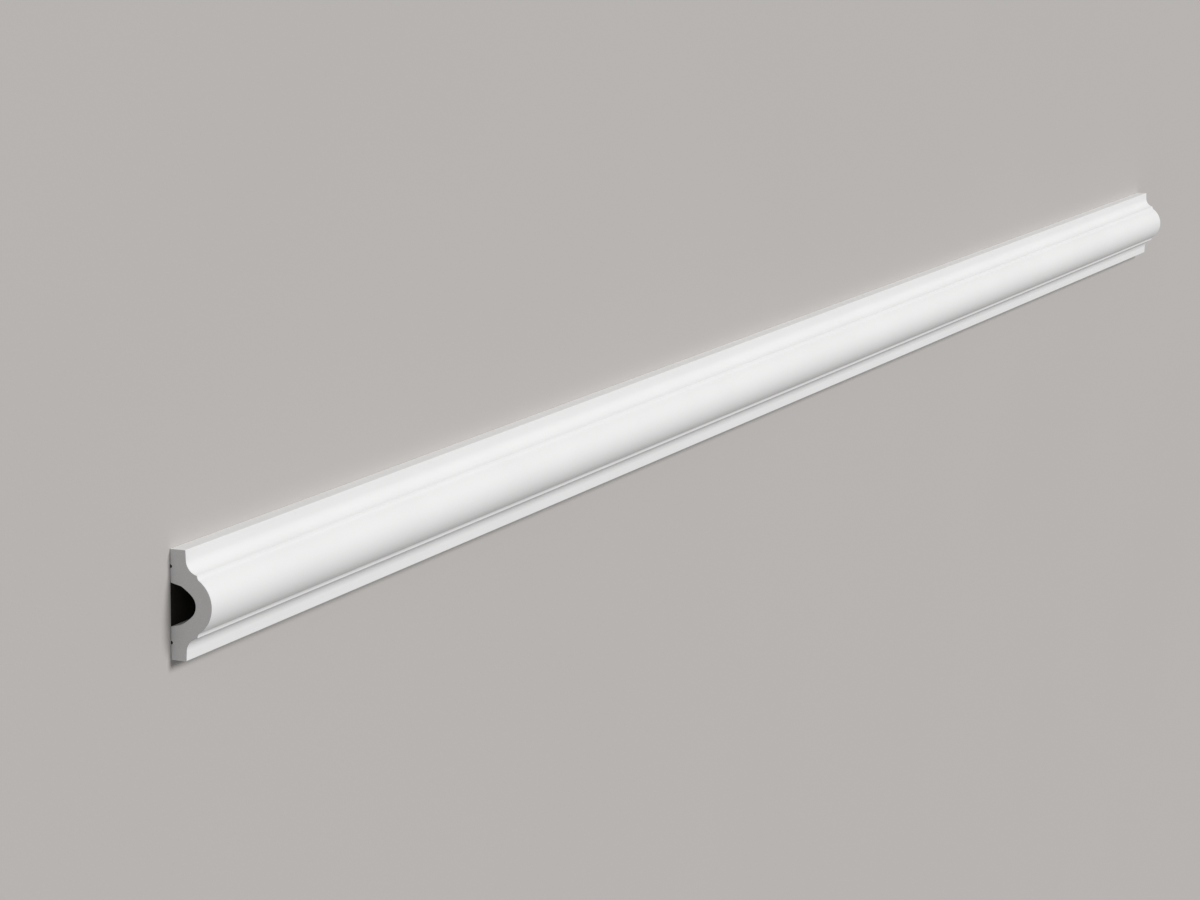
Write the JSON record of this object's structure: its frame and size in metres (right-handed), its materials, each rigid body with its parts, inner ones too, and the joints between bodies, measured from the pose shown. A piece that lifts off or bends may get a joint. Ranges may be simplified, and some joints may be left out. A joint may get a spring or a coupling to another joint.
{
  "type": "panel moulding",
  "caption": "Straight length of white wall panel moulding: a rounded torus between coves and flat bands on the front, and a flat back with an open channel and adhesive grooves.",
  "frame": {"origin": "middle of the back face, which lies on the floor", "axes": "+X along the length, +Y across the section (up when it is on a wall), +Z out of the back towards the crown"},
  "size_m": [2, 0.06, 0.0246],
  "materials": {
    "primed_white": "rigid polymer foam with a matte white factory primer"
  },
  "bodies": {
    "root": {"moulding": "primed_white"}
  },
  "joints": []
}
